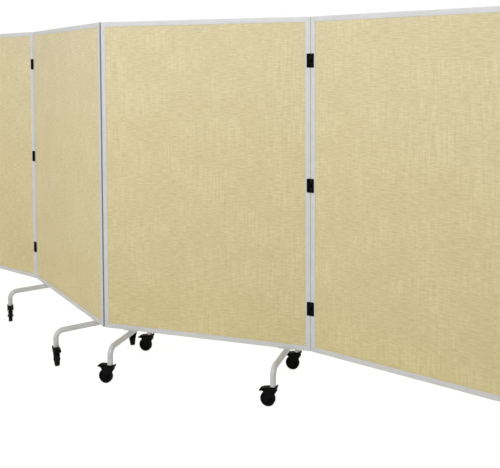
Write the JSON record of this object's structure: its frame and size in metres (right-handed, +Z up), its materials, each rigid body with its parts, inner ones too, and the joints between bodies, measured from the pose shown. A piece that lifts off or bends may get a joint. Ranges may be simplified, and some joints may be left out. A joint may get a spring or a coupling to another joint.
{
  "type": "rolling partition",
  "caption": "Folding room divider on wheels: straw-coloured fabric boards in silver metal frames, joined by black hinges, on bent-tube legs with braked swivel casters.",
  "frame": {"origin": "on the floor under the middle of the whole screen's box, folded as in the picture", "axes": "+X along the screen from the left wing to the right wing, -Y towards the front, which the apex of the fold points to, +Z up"},
  "size_m": [4.9594, 0.8784, 2.049],
  "materials": {
    "fabric": "coarse slubby straw-coloured weave, matt",
    "frame_metal": "satin silver-grey coating",
    "leg_tube": "satin silver-grey powder coat",
    "hinge_black": "satin black coating",
    "caster_black": "fine-grained black moulded nylon",
    "tread": "matt black tread, lightly scuffed"
  },
  "bodies": {
    "panel_1": {"board_1": "fabric", "frame_1": "frame_metal", "top_rail_1": "frame_metal", "hinge_left_low_pin_leaf": "hinge_black", "hinge_left_middle_pin_leaf": "hinge_black", "hinge_left_top_pin_leaf": "hinge_black"},
    "panel_2": {"board_2": "fabric", "frame_2": "frame_metal", "top_rail_2": "frame_metal", "leg_a": "leg_tube", "leg_b": "leg_tube", "hinge_left_low_socket_leaf": "hinge_black", "hinge_left_middle_socket_leaf": "hinge_black", "hinge_left_top_socket_leaf": "hinge_black", "hinge_centre_low_pin_leaf": "hinge_black", "hinge_centre_middle_pin_leaf": "hinge_black", "hinge_centre_top_pin_leaf": "hinge_black"},
    "panel_3": {"board_3": "fabric", "frame_3": "frame_metal", "top_rail_3": "frame_metal", "leg_c": "leg_tube", "leg_d": "leg_tube", "hinge_centre_low_socket_leaf": "hinge_black", "hinge_centre_middle_socket_leaf": "hinge_black", "hinge_centre_top_socket_leaf": "hinge_black", "hinge_right_low_pin_leaf": "hinge_black", "hinge_right_middle_pin_leaf": "hinge_black", "hinge_right_top_pin_leaf": "hinge_black"},
    "panel_4": {"board_4": "fabric", "frame_4": "frame_metal", "top_rail_4": "frame_metal", "hinge_right_low_socket_leaf": "hinge_black", "hinge_right_middle_socket_leaf": "hinge_black", "hinge_right_top_socket_leaf": "hinge_black"},
    "caster_a_front": {"fork_a_front": "caster_black"},
    "wheel_a_front": {"wheel_a_front": "tread"},
    "brake_a_front": {"brake_a_front": "caster_black"},
    "caster_a_back": {"fork_a_back": "caster_black"},
    "wheel_a_back": {"wheel_a_back": "tread"},
    "brake_a_back": {"brake_a_back": "caster_black"},
    "caster_b_front": {"fork_b_front": "caster_black"},
    "wheel_b_front": {"wheel_b_front": "tread"},
    "brake_b_front": {"brake_b_front": "caster_black"},
    "caster_b_back": {"fork_b_back": "caster_black"},
    "wheel_b_back": {"wheel_b_back": "tread"},
    "brake_b_back": {"brake_b_back": "caster_black"},
    "caster_c_front": {"fork_c_front": "caster_black"},
    "wheel_c_front": {"wheel_c_front": "tread"},
    "brake_c_front": {"brake_c_front": "caster_black"},
    "caster_c_back": {"fork_c_back": "caster_black"},
    "wheel_c_back": {"wheel_c_back": "tread"},
    "brake_c_back": {"brake_c_back": "caster_black"},
    "caster_d_front": {"fork_d_front": "caster_black"},
    "wheel_d_front": {"wheel_d_front": "tread"},
    "brake_d_front": {"brake_d_front": "caster_black"},
    "caster_d_back": {"fork_d_back": "caster_black"},
    "wheel_d_back": {"wheel_d_back": "tread"},
    "brake_d_back": {"brake_d_back": "caster_black"}
  },
  "joints": [
    {"name": "left_fold", "type": "hinge", "parent": "panel_2", "child": "panel_1", "pos_m": [-1.20924, 0.20928, 1.1345], "axis": [0, 0, 1], "range_deg": [-21, 161]},
    {"name": "centre_fold", "type": "hinge", "parent": "panel_2", "child": "panel_3", "pos_m": [0, -0.18277, 1.1345], "axis": [0, 0, 1], "range_deg": [-40, 6]},
    {"name": "right_fold", "type": "hinge", "parent": "panel_3", "child": "panel_4", "pos_m": [1.20924, 0.20928, 1.1345], "axis": [0, 0, -1], "range_deg": [-21, 161]},
    {"name": "swivel_a_front", "type": "hinge", "parent": "panel_2", "child": "caster_a_front", "pos_m": [-1.12633, -0.07363, 0.107], "axis": [0, 0, 1], "continuous": true},
    {"name": "roll_a_front", "type": "hinge", "parent": "caster_a_front", "child": "wheel_a_front", "pos_m": [-1.10312, -0.08929, 0.04], "axis": [-0.5592, -0.829, 0], "continuous": true},
    {"name": "pedal_a_front", "type": "hinge", "parent": "caster_a_front", "child": "brake_a_front", "pos_m": [-1.12218, -0.07642, 0.088], "axis": [0.5592, 0.829, 0], "range_deg": [0, 10]},
    {"name": "swivel_a_back", "type": "hinge", "parent": "panel_2", "child": "caster_a_back", "pos_m": [-0.96224, 0.40291, 0.107], "axis": [0, 0, 1], "continuous": true},
    {"name": "roll_a_back", "type": "hinge", "parent": "caster_a_back", "child": "wheel_a_back", "pos_m": [-0.93903, 0.38726, 0.04], "axis": [-0.5592, -0.829, 0], "continuous": true},
    {"name": "pedal_a_back", "type": "hinge", "parent": "caster_a_back", "child": "brake_a_back", "pos_m": [-0.9581, 0.40012, 0.088], "axis": [0.5592, 0.829, 0], "range_deg": [0, 10]},
    {"name": "swivel_b_front", "type": "hinge", "parent": "panel_2", "child": "caster_b_front", "pos_m": [-0.22147, -0.3852, 0.107], "axis": [0, 0, 1], "continuous": true},
    {"name": "roll_b_front", "type": "hinge", "parent": "caster_b_front", "child": "wheel_b_front", "pos_m": [-0.19722, -0.3992, 0.04], "axis": [-0.5, -0.866, 0], "continuous": true},
    {"name": "pedal_b_front", "type": "hinge", "parent": "caster_b_front", "child": "brake_b_front", "pos_m": [-0.21714, -0.3877, 0.088], "axis": [0.5, 0.866, 0], "range_deg": [0, 10]},
    {"name": "swivel_b_back", "type": "hinge", "parent": "panel_2", "child": "caster_b_back", "pos_m": [-0.05738, 0.09134, 0.107], "axis": [0, 0, 1], "continuous": true},
    {"name": "roll_b_back", "type": "hinge", "parent": "caster_b_back", "child": "wheel_b_back", "pos_m": [-0.08046, 0.1072, 0.04], "axis": [0.5664, 0.8241, 0], "continuous": true},
    {"name": "pedal_b_back", "type": "hinge", "parent": "caster_b_back", "child": "brake_b_back", "pos_m": [-0.0615, 0.09418, 0.088], "axis": [-0.5664, -0.8241, 0], "range_deg": [0, 10]},
    {"name": "swivel_c_front", "type": "hinge", "parent": "panel_3", "child": "caster_c_front", "pos_m": [0.247, -0.37641, 0.107], "axis": [0, 0, 1], "continuous": true},
    {"name": "roll_c_front", "type": "hinge", "parent": "caster_c_front", "child": "wheel_c_front", "pos_m": [0.22052, -0.38552, 0.04], "axis": [-0.3256, 0.9455, 0], "continuous": true},
    {"name": "pedal_c_front", "type": "hinge", "parent": "caster_c_front", "child": "brake_c_front", "pos_m": [0.24227, -0.37804, 0.088], "axis": [0.3256, -0.9455, 0], "range_deg": [0, 10]},
    {"name": "swivel_c_back", "type": "hinge", "parent": "panel_3", "child": "caster_c_back", "pos_m": [0.08291, 0.10013, 0.107], "axis": [0, 0, 1], "continuous": true},
    {"name": "roll_c_back", "type": "hinge", "parent": "caster_c_back", "child": "wheel_c_back", "pos_m": [0.05644, 0.09102, 0.04], "axis": [-0.3256, 0.9455, 0], "continuous": true},
    {"name": "pedal_c_back", "type": "hinge", "parent": "caster_c_back", "child": "brake_c_back", "pos_m": [0.07818, 0.09851, 0.088], "axis": [0.3256, -0.9455, 0], "range_deg": [-10, 0]},
    {"name": "swivel_d_front", "type": "hinge", "parent": "panel_3", "child": "caster_d_front", "pos_m": [1.15186, -0.06484, 0.107], "axis": [0, 0, 1], "continuous": true},
    {"name": "roll_d_front", "type": "hinge", "parent": "caster_d_front", "child": "wheel_d_front", "pos_m": [1.12539, -0.07395, 0.04], "axis": [-0.3256, 0.9455, 0], "continuous": true},
    {"name": "pedal_d_front", "type": "hinge", "parent": "caster_d_front", "child": "brake_d_front", "pos_m": [1.14713, -0.06647, 0.088], "axis": [0.3256, -0.9455, 0], "range_deg": [-10, 0]},
    {"name": "swivel_d_back", "type": "hinge", "parent": "panel_3", "child": "caster_d_back", "pos_m": [0.98777, 0.4117, 0.107], "axis": [0, 0, 1], "continuous": true},
    {"name": "roll_d_back", "type": "hinge", "parent": "caster_d_back", "child": "wheel_d_back", "pos_m": [0.9613, 0.40259, 0.04], "axis": [-0.3256, 0.9455, 0], "continuous": true},
    {"name": "pedal_d_back", "type": "hinge", "parent": "caster_d_back", "child": "brake_d_back", "pos_m": [0.98304, 0.41008, 0.088], "axis": [0.3256, -0.9455, 0], "range_deg": [-10, 0]}
  ]
}
